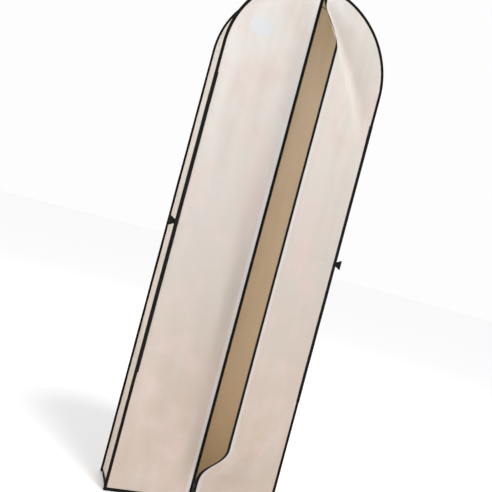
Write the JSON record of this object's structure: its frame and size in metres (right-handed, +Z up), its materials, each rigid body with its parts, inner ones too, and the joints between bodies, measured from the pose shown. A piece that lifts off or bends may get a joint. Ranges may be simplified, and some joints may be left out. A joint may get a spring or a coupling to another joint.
{
  "type": "garment bag",
  "caption": "Long arched fabric garment bag with side gussets, a centre front zip, black bound edges, side webbing and short carry loops.",
  "frame": {"origin": "the hanger opening, at the outside of the top of the arch, on the middle of the width and depth", "axes": "+Z up along the hanging bag, the zipped front faces -Y, +X is the wearer's right seen from the front"},
  "size_m": [0.653, 0.2906, 1.8608],
  "materials": {
    "bag_cloth": "point-bonded nonwoven, matt, pale pinkish beige",
    "edge_binding": "folded black bias binding, matt",
    "webbing": "black flat webbing with a fine rib",
    "zip_tape": "black woven zip tape",
    "zip_coil": "black nylon coil, satin",
    "zip_metal": "black enamelled zinc",
    "label_cloth": "pale satin ribbon, blank"
  },
  "bodies": {
    "bag": {"back_panel": "bag_cloth", "base_panel": "bag_cloth", "gusset_left": "bag_cloth", "gusset_right": "bag_cloth", "hanger_patch": "bag_cloth", "hanger_slot_binding": "edge_binding", "front_binding": "edge_binding", "back_binding": "edge_binding", "front_base_binding": "edge_binding", "back_base_binding": "edge_binding", "left_base_binding": "edge_binding", "right_base_binding": "edge_binding", "front_left_lower": "bag_cloth", "front_left_upper": "bag_cloth", "front_right_lower": "bag_cloth", "front_right_upper": "bag_cloth", "zip_tape_left_lower": "zip_tape", "zip_tape_left_upper": "zip_tape", "zip_tape_right_lower": "zip_tape", "zip_tape_right_upper": "zip_tape", "zip_coil_left_lower": "zip_coil", "zip_coil_left_upper": "zip_coil", "zip_coil_right_lower": "zip_coil", "zip_coil_right_upper": "zip_coil", "zip_bottom_stop": "zip_metal", "zip_top_stop_left": "zip_metal", "zip_top_stop_right": "zip_metal", "side_tape_left": "webbing", "side_tape_right": "webbing", "care_label": "label_cloth"},
    "right_flap": {"front_right_middle": "bag_cloth", "zip_tape_right_middle": "zip_tape", "zip_coil_right_middle": "zip_coil"},
    "left_flap": {"front_left_middle": "bag_cloth", "zip_tape_left_middle": "zip_tape", "zip_coil_left_middle": "zip_coil"},
    "slider": {"zip_slider": "zip_metal"},
    "pull": {"zip_pull": "zip_metal"},
    "left_loop": {"carry_loop_left": "webbing"},
    "right_loop": {"carry_loop_right": "webbing"}
  },
  "joints": [
    {"name": "right_flap_swing", "type": "hinge", "parent": "bag", "child": "right_flap", "pos_m": [0.2962, -0.075, -0.93], "axis": [0, 0, 1], "range_deg": [-28, 0], "deforming": ["front_right_lower", "front_right_upper", "zip_tape_right_lower", "zip_tape_right_upper", "zip_coil_right_lower", "zip_coil_right_upper"]},
    {"name": "left_flap_swing", "type": "hinge", "parent": "bag", "child": "left_flap", "pos_m": [-0.2962, -0.075, -0.93], "axis": [0, 0, -1], "range_deg": [0, 28], "deforming": ["front_left_lower", "front_left_upper", "zip_tape_left_lower", "zip_tape_left_upper", "zip_coil_left_lower", "zip_coil_left_upper"]},
    {"name": "zip_slide", "type": "slide", "parent": "bag", "child": "slider", "axis": [0, 0, 1], "range_m": [0, 1.774]},
    {"name": "zip_pull_flip", "type": "hinge", "parent": "slider", "child": "pull", "pos_m": [0, -0.0789, -1.802], "axis": [-1, 0, 0], "range_deg": [0, 165]},
    {"name": "left_loop_swing", "type": "hinge", "parent": "bag", "child": "left_loop", "pos_m": [-0.3095, -0.075, -0.93], "axis": [0, 0, 1], "range_deg": [-60, 60]},
    {"name": "right_loop_swing", "type": "hinge", "parent": "bag", "child": "right_loop", "pos_m": [0.3095, -0.075, -0.93], "axis": [0, 0, 1], "range_deg": [-60, 60]}
  ],
  "couplings": [
    {"joint": "zip_slide", "follows": "right_flap_swing", "m_per_rad": -3.6288}
  ]
}
